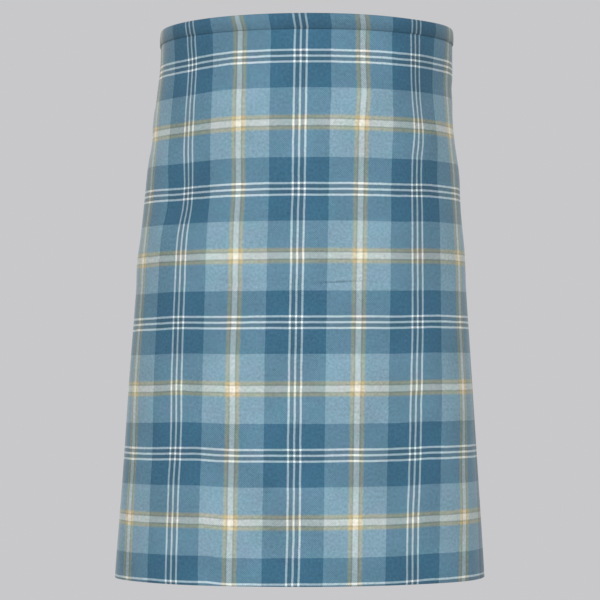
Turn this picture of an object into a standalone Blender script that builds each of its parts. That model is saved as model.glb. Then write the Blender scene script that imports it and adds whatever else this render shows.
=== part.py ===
"""A knee-length Scottish kilt, filled out as worn, open at the waist and the hem.

Metres, +Z up. The front faces -Y and the wearer's left is +X.
The origin is the middle of the waist opening, level with the top edge.
"""
import math
from collections import namedtuple

import bmesh
import bpy
from mathutils import Vector

# Cloth
WALL = 0.0010          # thickness of the cloth wall
GAP = 0.0003           # clearance between two pieces that touch
FOLD_GAP = 0.00035     # clearance between the layers inside a pleat
PITCH = WALL + FOLD_GAP
SETT_WIDTH = 0.1345    # one repeat of the tartan across the cloth, taken up by each pleat

# The form that the kilt goes round: horizontal sections of the outer surface, from the waist down.
# turn is in degrees, towards the wearer's left.
Section = namedtuple("Section", "drop half_width front_depth back_depth centre_x turn")
SECTIONS = [
    Section(0.000, 0.1637, 0.1275, 0.1010, 0.0070, -2.0),
    Section(0.047, 0.1637, 0.1250, 0.1120, 0.0060, -2.7),
    Section(0.100, 0.1687, 0.1240, 0.1250, 0.0030, -3.5),
    Section(0.170, 0.1757, 0.1225, 0.1370, 0.0020, -4.0),
    Section(0.270, 0.1835, 0.1187, 0.1450, 0.0010, -3.0),
    Section(0.380, 0.1915, 0.1155, 0.1480, 0.0004, -1.5),
    Section(0.500, 0.1990, 0.1165, 0.1510, 0.0008, 0.0),
    Section(0.611, 0.2062, 0.1222, 0.1540, 0.0010, 1.3),
]
LEFT_EDGE_ANGLE = 104    # degrees from the front, where the over apron is folded under
RIGHT_EDGE_ANGLE = -104  # degrees from the front, where the last pleat is folded under

# Stations round the ring.
# Station 0 is the over apron's folded edge. Stations 1 to PLEATS are the pleats' edges, going
# round the back. The front stations carry on from there, back to station 0.
PLEATS = 20
FRONT_STEPS = 30
RING_STEPS = PLEATS + FRONT_STEPS

# Pleats
DEPTH_LIMITS = (2.05, 2.90)   # how far a pleat reaches under, in pleat widths
FIRST_REACH = 0.40            # the first pleats stop this far in front of the folded edge
LEFT_SEAM = -0.20             # station of the seam under the over apron's folded edge
BACK_SEAM_PLEAT = 10          # the two back lengths are joined under this pleat
BACK_SEAM_REACH = 1.50        # how far under that pleat the join lies, in pleat widths
RIGHT_SEAM_REACH = 1.00       # the same for the join to the under apron, under the last pleat

# Aprons.
# Insets are measured inwards from the ring's outer surface to the middle of a wall.
FACE_INSET = WALL / 2
OVER_EDGE_INSET = -0.0038     # the over apron stands out where it laps over the last pleat
OVER_FREE_EDGE = PLEATS - 1.0
OVER_RAMP = (PLEATS, PLEATS + 2)
UNDER_INSET = 0.0044
UNDER_START_INSET = 0.0050
UNDER_FREE_EDGE = RING_STEPS - 1.3

# Waistband
BAND_DEPTH = 0.0165
BAND_STEP = WALL + GAP        # from the middle of the cloth to the middle of the band's wall
CLOTH_TOP = BAND_STEP
BAND_SHOULDER = 0.00065       # the rounding where the band turns over the top edge
BAND_SPLIT_LEFT = -0.5        # station where the over and the back bands meet
BAND_SPLIT_RIGHT = PLEATS + 0.08
BACK_BAND_OUTER = -0.0011     # outer wall of the band over the pleats
BACK_BAND_INSET = 0.0124      # inner wall of the band behind the full depth of the pleats
BACK_BAND_END_INSET = 0.0063

# Straps, buckles and tabs
STRAP_WIDTH = 0.0254
STRAP_THICK = 0.0018
STRAP_DROP = 0.0328           # drop of the straps' centre line
STRAP_HEIGHT = 0.0013         # middle of a strap above the pleats
TAB_THICK = 0.0014
TAB_LENGTH = 0.022
TAB_SLOT = 0.0068             # the prong's slot in the tab ends this far behind the heel bar
TAB_RISE = 0.0010             # the tab's layers turn round the bar from this far behind it
TAB_TURN = (-60, -30, 0, 30, 60)
BAR_RADIUS = 0.0011
BAR_HEIGHT = 0.0036           # middle of the buckle's bars above the pleats
BUCKLE_HALF_LENGTH = 0.0070
BUCKLE_HALF_WIDTH = 0.0165
BUCKLE_CORNER = 0.0030
PRONG_RADIUS = 0.0009
PRONG_SLOT = 0.0028           # width of the strap's hole and of the tab's slot
PRONG_RING = BAR_RADIUS + GAP + PRONG_RADIUS
PRONG_OVERHANG = 0.0025       # the prong's tip lies this far past the front bar
LEFT_BUCKLE = 1.5             # stations of the buckles' centres
RIGHT_BUCKLE = PLEATS - 2.7
SLIT = (-1.0, -0.6)           # the slit in the over apron, in stations
SLIT_DROPS = (0.0186, 0.0470)
SLIT_EASE = 0.06              # the left strap turns out through the slit between these margins
LEFT_STRAP_START = -3.0       # station where the left strap is sewn to the under apron
RIGHT_STRAP_START = PLEATS + 0.1

# A strap's way past its buckle: along from the buckle's centre, and the height of its middle.
OVER_HEEL_BAR = BAR_HEIGHT + 2 * (BAR_RADIUS + GAP + PRONG_RADIUS) + 0.0001
ON_TAB = 2 * TAB_THICK + 3 * GAP + STRAP_THICK / 2
StrapPoint = namedtuple("StrapPoint", "along height")
HOLE_START = StrapPoint(-0.0011, 0.0038)
HOLE_END = StrapPoint(0.0038, 0.0080)
STRAP_ROUTE = [
    StrapPoint(-0.0100, STRAP_HEIGHT),
    StrapPoint(-0.0040, STRAP_HEIGHT),
    HOLE_START,
    HOLE_END,
    StrapPoint(0.0070, OVER_HEEL_BAR),
    StrapPoint(0.0100, OVER_HEEL_BAR),
    StrapPoint(0.0170, ON_TAB),
    StrapPoint(0.0300, ON_TAB),
    StrapPoint(0.0400, STRAP_HEIGHT + 0.0012),
]

WOOL = (0.19, 0.32, 0.42)
BAND_WOOL = (0.10, 0.20, 0.30)
LEATHER = (0.020, 0.017, 0.015)
STEEL = (0.62, 0.62, 0.60)

ARC_SAMPLES = 720
CLOSE = 1e-6                  # stations and drops nearer than this are the same


# The ring and its stations

def section_point(section, degrees):
    """Point of a section's outline at an angle from the front, towards the wearer's left."""
    angle = math.radians(degrees)
    depth = section.front_depth if math.cos(angle) > 0 else section.back_depth
    x = section.half_width * math.sin(angle)
    y = -depth * math.cos(angle)
    turn = math.radians(section.turn)
    return Vector((section.centre_x + x * math.cos(turn) - y * math.sin(turn),
                   x * math.sin(turn) + y * math.cos(turn)))


def even_stretch(section, first, last, steps):
    """Points that divide the outline between two angles into equal lengths."""
    samples = [section_point(section, first + (last - first) * i / ARC_SAMPLES)
               for i in range(ARC_SAMPLES + 1)]
    lengths = [0.0]
    for a, b in zip(samples, samples[1:]):
        lengths.append(lengths[-1] + (b - a).length)
    points = []
    j = 0
    for i in range(steps):
        target = lengths[-1] * i / steps
        while lengths[j + 1] < target:
            j += 1
        part = (target - lengths[j]) / (lengths[j + 1] - lengths[j])
        points.append(samples[j].lerp(samples[j + 1], part))
    return points


class Ring:
    """One section as a polygon with a corner at each station, and the mitred way out of each."""

    def __init__(self, section):
        self.drop = section.drop
        back = even_stretch(section, LEFT_EDGE_ANGLE, 360 + RIGHT_EDGE_ANGLE, PLEATS)
        front = even_stretch(section, RIGHT_EDGE_ANGLE, LEFT_EDGE_ANGLE, FRONT_STEPS)
        self.corners = back + front
        self.ways_out = [self.way_out(i) for i in range(RING_STEPS)]
        self.pleat_width = (self.corners[1] - self.corners[0]).length

    def way_out(self, i):
        here = self.corners[i]
        before = (here - self.corners[i - 1]).normalized()
        after = (self.corners[(i + 1) % RING_STEPS] - here).normalized()
        normal = Vector((before.y + after.y, -before.x - after.x)).normalized()
        if normal.dot(here) < 0:
            normal = -normal
        side = Vector((after.y, -after.x))
        return normal / abs(normal.dot(side))

    def at(self, station, inset):
        """Point at a station, which may be a fraction, moved inwards by the inset."""
        i = math.floor(station)
        part = station - i
        a = i % RING_STEPS
        b = (i + 1) % RING_STEPS
        start = self.corners[a] - self.ways_out[a] * inset
        end = self.corners[b] - self.ways_out[b] * inset
        return start.lerp(end, part)

    def step_length(self, station):
        i = math.floor(station)
        return (self.corners[(i + 1) % RING_STEPS] - self.corners[i % RING_STEPS]).length

    def pleat_reach(self, pleat):
        """How far a pleat goes under, in pleat widths, so that it takes up one sett."""
        full = (SETT_WIDTH - self.pleat_width) / 2 / self.pleat_width
        full = min(max(full, DEPTH_LIMITS[0]), DEPTH_LIMITS[1])
        return min(full, pleat + FIRST_REACH)


RINGS = [Ring(section) for section in SECTIONS]


def ring_below(drop):
    """Number of the first ring that is not above a drop, and how near it the drop lies, 0 to 1."""
    lower = 1
    while lower < len(RINGS) - 1 and RINGS[lower].drop < drop:
        lower += 1
    above, below = RINGS[lower - 1], RINGS[lower]
    return lower, (drop - above.drop) / (below.drop - above.drop)


def between_rings(upper_spot, lower_spot, lower, part, drop):
    """Point between a (station, inset) spot on one ring and one on the ring below it."""
    start = RINGS[lower - 1].at(*upper_spot)
    end = RINGS[lower].at(*lower_spot)
    flat = start.lerp(end, part)
    return Vector((flat.x, flat.y, -drop))


def cloth_point(station, inset, drop):
    """Point at a station, an inset and a drop, straight between the rings above and below."""
    lower, part = ring_below(drop)
    return between_rings((station, inset), (station, inset), lower, part, drop)


# Paths of the cloth in a ring
# A path is a list of (station, inset) pairs for the middle of the wall.

def face_inset(pleat, station):
    return FACE_INSET + 2 * PITCH * (pleat - station)


def under_inset(pleat, station):
    return face_inset(pleat, station) + PITCH


def corners_between(first, last):
    """Whole stations strictly between two stations, in order."""
    low, high = min(first, last), max(first, last)
    inside = [k for k in range(math.floor(low), math.ceil(high) + 1) if low + CLOSE < k < high - CLOSE]
    return inside if last > first else inside[::-1]


def layer(first, last, inset_at):
    """A stretch of cloth from one station to another, with a point at each corner it passes."""
    stops = [first] + corners_between(first, last) + [last]
    return [(station, inset_at(station)) for station in stops]


def outer_fold(ring, pleat):
    """The tip of a pleat's visible folded edge."""
    tip = PITCH / 2 / ring.step_length(pleat)
    return [(pleat + tip, FACE_INSET + PITCH / 2)]


def inner_fold(ring, pleat):
    """The tip of the fold hidden under a pleat."""
    station = pleat - ring.pleat_reach(pleat)
    tip = PITCH / 2 / ring.step_length(station)
    return [(station - tip, under_inset(pleat, station) + PITCH / 2)]


def over_inset(station):
    """Inset of the over apron, easing out to lap over the last pleat."""
    part = (station - OVER_RAMP[0]) / (OVER_RAMP[1] - OVER_RAMP[0])
    part = min(max(part, 0.0), 1.0)
    ease = part * part * (3 - 2 * part)
    return OVER_EDGE_INSET + (FACE_INSET - OVER_EDGE_INSET) * ease


def over_apron_path(ring):
    folded_edge = RING_STEPS
    panel = [OVER_FREE_EDGE, *range(PLEATS, RING_STEPS)]
    panel += [RING_STEPS + SLIT[1], folded_edge]
    path = [(station, over_inset(station)) for station in panel]
    path += [(station + RING_STEPS, inset) for station, inset in outer_fold(ring, 0)]
    path.append((folded_edge, under_inset(0, 0)))
    path.append((folded_edge + LEFT_SEAM, under_inset(0, LEFT_SEAM)))
    return path


def pleat_turn(ring, pleat, start):
    """From under a pleat, round its inner fold, along the next face and round its edge."""
    hidden = pleat - ring.pleat_reach(pleat)
    path = layer(start, hidden, lambda s: under_inset(pleat, s))
    path += inner_fold(ring, pleat)
    path += layer(hidden, pleat + 1, lambda s: face_inset(pleat + 1, s))
    path += outer_fold(ring, pleat + 1)
    return path


def pleats_left_path(ring):
    start = LEFT_SEAM - GAP / ring.step_length(LEFT_SEAM)
    path = pleat_turn(ring, 0, start)
    for pleat in range(1, BACK_SEAM_PLEAT):
        path += pleat_turn(ring, pleat, pleat)
    seam = BACK_SEAM_PLEAT - BACK_SEAM_REACH
    path += layer(BACK_SEAM_PLEAT, seam, lambda s: under_inset(BACK_SEAM_PLEAT, s))
    return path


def pleats_right_path(ring):
    seam = BACK_SEAM_PLEAT - BACK_SEAM_REACH
    path = pleat_turn(ring, BACK_SEAM_PLEAT, seam - GAP / ring.pleat_width)
    for pleat in range(BACK_SEAM_PLEAT + 1, PLEATS):
        path += pleat_turn(ring, pleat, pleat)
    seam = PLEATS - RIGHT_SEAM_REACH
    path += layer(PLEATS, seam, lambda s: under_inset(PLEATS, s))
    return path


def under_apron_inset(ring, station):
    """From the inner fold of the last pleat out to its place behind the over apron."""
    hidden = PLEATS - ring.pleat_reach(PLEATS)
    deep = face_inset(PLEATS + 1, hidden)
    if station < PLEATS:
        part = (station - hidden) / (PLEATS - hidden)
        return deep + (UNDER_START_INSET - deep) * part
    part = min(station - PLEATS, 1.0)
    return UNDER_START_INSET + (UNDER_INSET - UNDER_START_INSET) * part


def under_apron_path(ring):
    seam = PLEATS - RIGHT_SEAM_REACH - GAP / ring.pleat_width
    hidden = PLEATS - ring.pleat_reach(PLEATS)
    path = layer(seam, hidden, lambda s: under_inset(PLEATS, s))
    path += inner_fold(ring, PLEATS)
    path += layer(hidden, UNDER_FREE_EDGE, lambda s: under_apron_inset(ring, s))
    return path


# Objects

def clear_scene():
    for thing in list(bpy.data.objects):
        bpy.data.objects.remove(thing, do_unlink=True)


def finish(name, colour, roughness, metallic=0.0):
    material = bpy.data.materials.new(name)
    material.use_nodes = True
    shader = material.node_tree.nodes["Principled BSDF"]
    shader.inputs["Base Color"].default_value = (*colour, 1.0)
    shader.inputs["Roughness"].default_value = roughness
    shader.inputs["Metallic"].default_value = metallic
    return material


def add_object(name, data, collection, colour, roughness, metallic=0.0):
    thing = bpy.data.objects.new(name, data)
    collection.objects.link(thing)
    thing.data.materials.append(finish(name, colour, roughness, metallic))
    return thing


def station_and_height(spot):
    station, point = spot
    return station, point.z


def sheet(name, lines, collection, colour, thickness, roughness=0.9, holes=()):
    """A wall: an open sheet through equal lines of spots, given its thickness by Solidify.

    A spot is (station, point). holes names the cells left open, as (line, place) pairs.
    Each cell is split from its high corner at the lower station to its low corner at the
    higher one, so that neighbouring layers bend alike and stay apart.
    """
    mesh = bmesh.new()
    rows = [[mesh.verts.new(point) for station, point in line] for line in lines]
    for r in range(len(rows) - 1):
        for c in range(len(rows[0]) - 1):
            if (r, c) in holes:
                continue
            corners = [(r, c), (r + 1, c), (r + 1, c + 1), (r, c + 1)]
            a, b, d, e = [rows[i][j] for i, j in corners]
            first, second = [station_and_height(lines[i][j]) for i, j in corners[0:3:2]]
            if (second[0] - first[0]) * (second[1] - first[1]) <= 0:
                mesh.faces.new((a, b, d))
                mesh.faces.new((a, d, e))
            else:
                mesh.faces.new((a, b, e))
                mesh.faces.new((b, d, e))
    mesh.normal_update()
    data = bpy.data.meshes.new(name)
    mesh.to_mesh(data)
    mesh.free()
    thing = add_object(name, data, collection, colour, roughness)
    wall = thing.modifiers.new("wall", 'SOLIDIFY')
    wall.thickness = thickness
    wall.offset = 0.0
    wall.use_even_offset = True
    return thing


def within(start, end, limits):
    return limits[0] - CLOSE < start and end < limits[1] + CLOSE


def window_cells(drops, path, stations, window_drops):
    """Cells of a sheet that lie between two stations and between two drops."""
    return {(r, c)
            for r in range(len(drops) - 1)
            for c in range(len(path) - 1)
            if path[c + 1][0] > path[c][0]
            and within(path[c][0], path[c + 1][0], stations)
            and within(drops[r], drops[r + 1], window_drops)}


def hanging_cloth(name, path_of, collection, colour, extra_drops=(), window=None):
    """A piece of the kilt's cloth, from its top edge to the hem."""
    drops = sorted({CLOTH_TOP, *(ring.drop for ring in RINGS[1:]), *extra_drops})
    ring_paths = [path_of(ring) for ring in RINGS]
    lines = []
    for drop in drops:
        lower, part = ring_below(drop)
        spots = zip(ring_paths[lower - 1], ring_paths[lower])
        lines.append([(upper_spot[0], between_rings(upper_spot, lower_spot, lower, part, drop))
                      for upper_spot, lower_spot in spots])
    holes = window_cells(drops, ring_paths[0], *window) if window else set()
    return sheet(name, lines, collection, colour, WALL, holes=holes)


def waistband(name, first, last, outer_at, inner_at, collection):
    """A strip folded over the top edge, from the outside over to the inside."""
    stops = [first] + corners_between(first, last) + [last]
    columns = []
    for station in stops:
        outer, inner = outer_at(station), inner_at(station)
        middle = (outer + inner) / 2
        section = [
            (outer, BAND_DEPTH),
            (outer, WALL / 2 + BAND_SHOULDER),
            (outer + BAND_SHOULDER, WALL / 2),
            (middle, WALL / 2),
            (inner - BAND_SHOULDER, WALL / 2),
            (inner, WALL / 2 + BAND_SHOULDER),
            (inner, BAND_DEPTH),
        ]
        columns.append([(station, cloth_point(station, inset, drop)) for inset, drop in section])
    return sheet(name, columns, collection, BAND_WOOL, WALL)


def back_band_inner(station):
    start = PLEATS - DEPTH_LIMITS[1]
    part = min(max((station - start) / (BAND_SPLIT_RIGHT - start), 0.0), 1.0)
    return BACK_BAND_INSET + (BACK_BAND_END_INSET - BACK_BAND_INSET) * part


def build_waistbands(collection):
    split = GAP / RINGS[0].pleat_width
    waistband("waistband_over", OVER_FREE_EDGE - split, RING_STEPS + BAND_SPLIT_LEFT - split,
              lambda s: over_inset(s) - BAND_STEP, lambda s: over_inset(s) + BAND_STEP, collection)
    waistband("waistband_back", BAND_SPLIT_LEFT, BAND_SPLIT_RIGHT,
              lambda s: BACK_BAND_OUTER, back_band_inner, collection)
    ring = RINGS[0]
    waistband("waistband_under", BAND_SPLIT_RIGHT + split, UNDER_FREE_EDGE + split,
              lambda s: under_apron_inset(ring, s) - BAND_STEP,
              lambda s: under_apron_inset(ring, s) + BAND_STEP, collection)


# Straps and buckles

def fitting_point(centre, way, along, height, drop):
    """Point near a buckle: along the strap from the buckle's centre, above the pleats."""
    width = RINGS[0].pleat_width
    return cloth_point(centre + way * along / width, -height, drop)


def strap_stations(keys):
    """Keys of (station, height) with the corners that the strap passes added between them."""
    stops = [keys[0]]
    for (s0, h0), (s1, h1) in zip(keys, keys[1:]):
        for corner in corners_between(s0, s1):
            stops.append((corner, h0 + (h1 - h0) * (corner - s0) / (s1 - s0)))
        stops.append((s1, h1))
    return stops


def leather_strip(name, keys, holes_between, collection, thickness):
    """A strip of leather along (station, height) keys, with a hole for the prong between two."""
    stops = strap_stations(keys)
    edges = [STRAP_DROP - STRAP_WIDTH / 2, STRAP_DROP - PRONG_SLOT / 2,
             STRAP_DROP + PRONG_SLOT / 2, STRAP_DROP + STRAP_WIDTH / 2]
    lines = [[(station, cloth_point(station, -height, drop)) for drop in edges]
             for station, height in stops]
    limits = sorted(holes_between)
    middle_cell = 1
    holes = {(i, middle_cell) for i in range(len(stops) - 1)
             if within(*sorted((stops[i][0], stops[i + 1][0])), limits)}
    return sheet(name, lines, collection, LEATHER, thickness, roughness=0.5, holes=holes)


def add_strap(name, centre, way, base, collection):
    """A strap from its sewn base, under the buckle's front bar and over its heel bar."""
    scale = way / RINGS[0].pleat_width
    keys = base + [(centre + point.along * scale, point.height) for point in STRAP_ROUTE]
    hole = (centre + HOLE_START.along * scale, centre + HOLE_END.along * scale)
    return leather_strip(name, keys, hole, collection, STRAP_THICK)


def add_tab(name, centre, way, collection):
    """The tab that holds the buckle: round the heel bar, both ends back onto the pleats."""
    scale = way / RINGS[0].pleat_width
    heel = BUCKLE_HALF_LENGTH
    loop = BAR_RADIUS + GAP + TAB_THICK / 2
    low = GAP + TAB_THICK / 2
    high = low + TAB_THICK + GAP
    route = [(heel + TAB_LENGTH, low), (heel + TAB_SLOT, low), (heel + TAB_RISE, BAR_HEIGHT - loop)]
    for degrees in TAB_TURN:
        angle = math.radians(degrees)
        route.append((heel - loop * math.cos(angle), BAR_HEIGHT + loop * math.sin(angle)))
    route += [(heel + TAB_RISE, BAR_HEIGHT + loop), (heel + TAB_SLOT, high), (heel + TAB_LENGTH, high)]
    stops = [(centre + along * scale, height) for along, height in route]
    slot = (centre + (heel + TAB_SLOT) * scale, centre + (heel - loop) * scale)
    return leather_strip(name, stops, slot, collection, TAB_THICK)


def wire(name, points, radius, collection, cyclic=False):
    curve = bpy.data.curves.new(name, 'CURVE')
    curve.dimensions = '3D'
    curve.bevel_depth = radius
    curve.bevel_resolution = 2
    curve.use_fill_caps = True
    spline = curve.splines.new('POLY')
    spline.points.add(len(points) - 1)
    for spot, point in zip(spline.points, points):
        spot.co = (*point, 1.0)
    spline.use_cyclic_u = cyclic
    return add_object(name, curve, collection, STEEL, 0.25, 1.0)


def add_buckle(side, centre, way, collection):
    """A plain rectangular buckle: the frame, whose far side is the heel bar, and its prong."""
    corners = [(1, 1, 0), (-1, 1, 90), (-1, -1, 180), (1, -1, 270)]
    outline = []
    for x_side, z_side, start in corners:
        for turn in (0, 30, 60, 90):
            angle = math.radians(start + turn)
            along = x_side * (BUCKLE_HALF_LENGTH - BUCKLE_CORNER) + BUCKLE_CORNER * math.cos(angle)
            across = z_side * (BUCKLE_HALF_WIDTH - BUCKLE_CORNER) + BUCKLE_CORNER * math.sin(angle)
            outline.append(fitting_point(centre, way, along, BAR_HEIGHT, STRAP_DROP + across))
    wire("buckle_" + side, outline, BAR_RADIUS, collection, cyclic=True)

    prong = []
    for turn in range(-150, 91, 30):
        angle = math.radians(turn)
        prong.append((BUCKLE_HALF_LENGTH + PRONG_RING * math.cos(angle),
                      BAR_HEIGHT + PRONG_RING * math.sin(angle)))
    top = BAR_HEIGHT + PRONG_RING
    prong += [(0.0, top), (-BUCKLE_HALF_LENGTH - PRONG_OVERHANG, top)]
    points = [fitting_point(centre, way, along, height, STRAP_DROP) for along, height in prong]
    wire("prong_" + side, points, PRONG_RADIUS, collection)


def build_fastenings(collection):
    on_apron = WALL / 2 + GAP + STRAP_THICK / 2
    right_base = [(station, on_apron - over_inset(station))
                  for station in (RIGHT_STRAP_START, OVER_FREE_EDGE)]
    add_strap("strap_right", RIGHT_BUCKLE, -1, right_base, collection)
    add_tab("tab_right", RIGHT_BUCKLE, -1, collection)
    add_buckle("right", RIGHT_BUCKLE, -1, collection)

    behind = -(UNDER_INSET - WALL / 2 - GAP - STRAP_THICK / 2)
    left_base = [(LEFT_STRAP_START, behind), (SLIT[0] + SLIT_EASE, behind),
                 (SLIT[1] - SLIT_EASE, STRAP_HEIGHT)]
    add_strap("strap_left", LEFT_BUCKLE, 1, left_base, collection)
    add_tab("tab_left", LEFT_BUCKLE, 1, collection)
    add_buckle("left", LEFT_BUCKLE, 1, collection)


def build():
    clear_scene()
    collection = bpy.data.collections.new("scottish_kilt")
    bpy.context.scene.collection.children.link(collection)
    slit_stations = (RING_STEPS + SLIT[0], RING_STEPS + SLIT[1])
    hanging_cloth("over_apron", over_apron_path, collection, WOOL,
                  extra_drops=SLIT_DROPS, window=(slit_stations, SLIT_DROPS))
    hanging_cloth("pleats_left", pleats_left_path, collection, WOOL)
    hanging_cloth("pleats_right", pleats_right_path, collection, WOOL)
    hanging_cloth("under_apron", under_apron_path, collection, WOOL)
    build_waistbands(collection)
    build_fastenings(collection)


build()
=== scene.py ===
import math
from functools import cache, partial

import bpy
import numpy as np
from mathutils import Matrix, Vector


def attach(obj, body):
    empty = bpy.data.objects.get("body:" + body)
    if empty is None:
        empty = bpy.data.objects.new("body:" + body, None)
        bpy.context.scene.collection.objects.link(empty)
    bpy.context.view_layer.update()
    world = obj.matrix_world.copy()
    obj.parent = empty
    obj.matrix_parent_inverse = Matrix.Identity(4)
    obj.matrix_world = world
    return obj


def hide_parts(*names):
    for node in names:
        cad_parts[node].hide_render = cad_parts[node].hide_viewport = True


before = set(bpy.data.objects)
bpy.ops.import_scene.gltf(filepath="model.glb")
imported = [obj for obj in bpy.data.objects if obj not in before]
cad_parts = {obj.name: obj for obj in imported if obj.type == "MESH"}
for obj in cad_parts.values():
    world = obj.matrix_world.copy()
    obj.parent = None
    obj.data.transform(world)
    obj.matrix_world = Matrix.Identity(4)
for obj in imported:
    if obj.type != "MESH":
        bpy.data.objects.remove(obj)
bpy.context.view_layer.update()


# The form that the kilt hangs on, and how its cloth is shared out round it.
# A place on the cloth is a station round the form, an inset inwards and a drop from the waist.
form = {
    # drop, half width, front depth, back depth, middle in X, turn in degrees
    "sections": [
        (0.000, 0.1635, 0.1275, 0.1010, 0.0077, -2.0),
        (0.047, 0.1648, 0.1250, 0.1120, 0.0066, -2.7),
        (0.100, 0.1687, 0.1240, 0.1250, 0.0030, -3.5),
        (0.170, 0.1757, 0.1225, 0.1370, 0.0020, -4.0),
        (0.270, 0.1833, 0.1187, 0.1450, 0.0012, -3.0),
        (0.380, 0.1911, 0.1155, 0.1480, 0.0009, -1.5),
        (0.500, 0.1986, 0.1165, 0.1510, 0.0012, 0.0),
        (0.611, 0.2062, 0.1222, 0.1540, 0.0010, 1.3),
    ],
    "leftEdge": 104.0,  # degrees from the front, where the over apron is folded under
    "pleats": 20,  # stations 0 to 20 are the pleats' edges, round the back
    "frontSteps": 30,  # stations 20 to 50 go on round the front
    "samples": 1440,
    # all that follows measures lengths in millimetres
    "hemCurl": (26, 1.8, 35, 9),  # height, how far the hem turns in, middle station, spread
    # soft dents and swells: station, drop, spread in stations, spread in drop, lean, height
    "creases": [
        (37.5, 285.7, 1.25, 1.6, -0.9, 0.9), (37.5, 288.1, 1.25, 1.6, -0.9, -1.3),
        (40.6, 294.5, 1.1, 1.4, 0.3, 0.4), (40.6, 296.8, 1.1, 1.4, 0.3, -0.5),
        (33.5, 289, 3.6, 5.5, -0.3, -0.7), (38.6, 280, 3.5, 7, 0.4, 0.5),
        (30.8, 286, 2.7, 4.6, 0.8, -0.9), (26.5, 178, 2, 5, -1, -0.5), (41, 415, 3, 7, 0.9, -0.6),
        (31, 423, 2.6, 6, -0.6, 0.5), (34, 545, 3.4, 8, 0.5, -0.6), (43.5, 150, 1.8, 5, 1.1, -0.6),
        (24.5, 330, 1.9, 6, 1.2, -0.6), (48.6, 66, 0.8, 7.5, -1, -0.9), (48.2, 85, 1, 6, 0, 0.3),
        (21.9, 80, 1.1, 7, 1.2, -0.6), (22.2, 127, 2.4, 15, 0, -1.9), (48.4, 162, 2.6, 26, 0, 1.8),
        (21.6, 260, 2.6, 22, 0, 2), (48.4, 250, 2.6, 30, 0, 1.4), (5, 130, 3, 8, 0.6, -0.8),
        (14, 145, 3.2, 9, -0.6, -0.8), (9.5, 290, 3.6, 8, 0.4, 0.7), (3, 360, 2.6, 8, 0.8, -0.7),
        (16.5, 430, 2.8, 9, -0.8, 0.7),
    ],
    # long hollows: station, spread in stations, top and bottom drop, how softly they end, height
    "hollows": [
        (27.2, 2.9, 35, 212, 28, -5.6), (27.3, 2.2, 150, 228, 30, -2.8), (44.7, 2.2, 35, 185, 40, -4.6),
    ],
    # long soft flutes that open from a drop to the hem: station, spread in stations, height at the hem
    "flutesFrom": 120,
    "flutes": [
        (22.6, 1.3, 1.4), (25.4, 1.5, -1.1), (29, 1.9, 0.9), (33.2, 1.8, -0.7), (37, 2, 0.8),
        (41.2, 1.7, -0.9), (44.6, 1.4, 1.2), (47.4, 1.2, -1),
    ],
}

cloth = {
    "wall": 0.0010,  # thickness that the layers are spaced for
    "thickness": 0.00088,  # thickness shown
    "foldGap": 0.00035,
    "topDrop": 0.0038,  # the cloth's top edge, inside the waistband
    "hemDrop": 0.611,
    "rowStep": 0.0042,
    "pleatRowStep": 0.0058,
    "sett": 0.1345,  # one repeat of the tartan across the cloth
    "lineSpacing": 0.1422,  # one repeat down the cloth
    "firstLine": 0.0458,  # drop of the first triple line
    "middleLine": (0.0015, 0.0175),  # of the front's pattern: X at the waist, how far it leans
    "crossRise": 0.0057,  # how far the cross lines turn up to the wearer's left, at the hem
    # how far they sag at the wearer's right side: start in -X, reach, at drop, spread, how far
    "sags": [(0.125, 0.050, 0.400, 0.12, 0.0017), (0.125, 0.050, 0.185, 0.05, -0.0010)],
    "hipSag": (0.07, 0.07, 0.0036, 0.26, -0.0018),  # start in -X, reach, how far, gone at drop, least
    "leftLift": (0.100, 0.045, 0.0013, 0.15),  # start in X, reach, how far, full from drop
    "waistEase": (0.055, 0.090, 0.045, 0.0040),  # the front is eased in towards both hips
    # where the front's lengthwise lines hang off true, in millimetres: drop, spread, across, spread,
    # how far
    "drags": [
        (83, 24, 65, 35, -2), (118, 32, 132, 30, -4.6), (132, 32, 168, 22, -5.5),
        (185, 34, -65, 50, -1.5), (560, 100, 10, 40, -1.3), (560, 60, 135, 30, 1.8),
        (450, 40, -135, 30, -1.6), (375, 30, -63, 30, 1.2), (330, 80, 132, 30, -1.3),
        (400, 50, 190, 25, -2.8), (472, 30, -190, 30, -1.8), (385, 32, -195, 26, 1.6),
        (170, 50, 198, 20, -2.2), (282, 28, 198, 20, -2), (440, 45, 196, 20, -2),
        (532, 35, 196, 20, -1.8), (60, 45, -165, 24, -2), (148, 24, -165, 22, 1.8),
        (208, 28, -148, 35, -1.6), (64, 24, 192, 25, 4.8),
    ],
}
pitch = cloth["wall"] + cloth["foldGap"]
pleats = form["pleats"]
ring = pleats + form["frontSteps"]


def ease(part):
    return part * part * (3 - 2 * part)


def smoothColumn(drop, column):
    # a curve through one column of the sections
    table = form["sections"]
    i = 0
    while i < len(table) - 2 and table[i + 1][0] < drop:
        i += 1
    d0, d1 = table[i][0], table[i + 1][0]
    p0, p1 = table[i][column], table[i + 1][column]

    def slope(j):
        low, high = max(j - 1, 0), min(j + 1, len(table) - 1)
        return (table[high][column] - table[low][column]) / (table[high][0] - table[low][0])

    t = (drop - d0) / (d1 - d0)
    h = d1 - d0
    return ((2 * t**3 - 3 * t**2 + 1) * p0 + (t**3 - 2 * t**2 + t) * h * slope(i)
            + (3 * t**2 - 2 * t**3) * p1 + (t**3 - t**2) * h * slope(i + 1))


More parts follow.
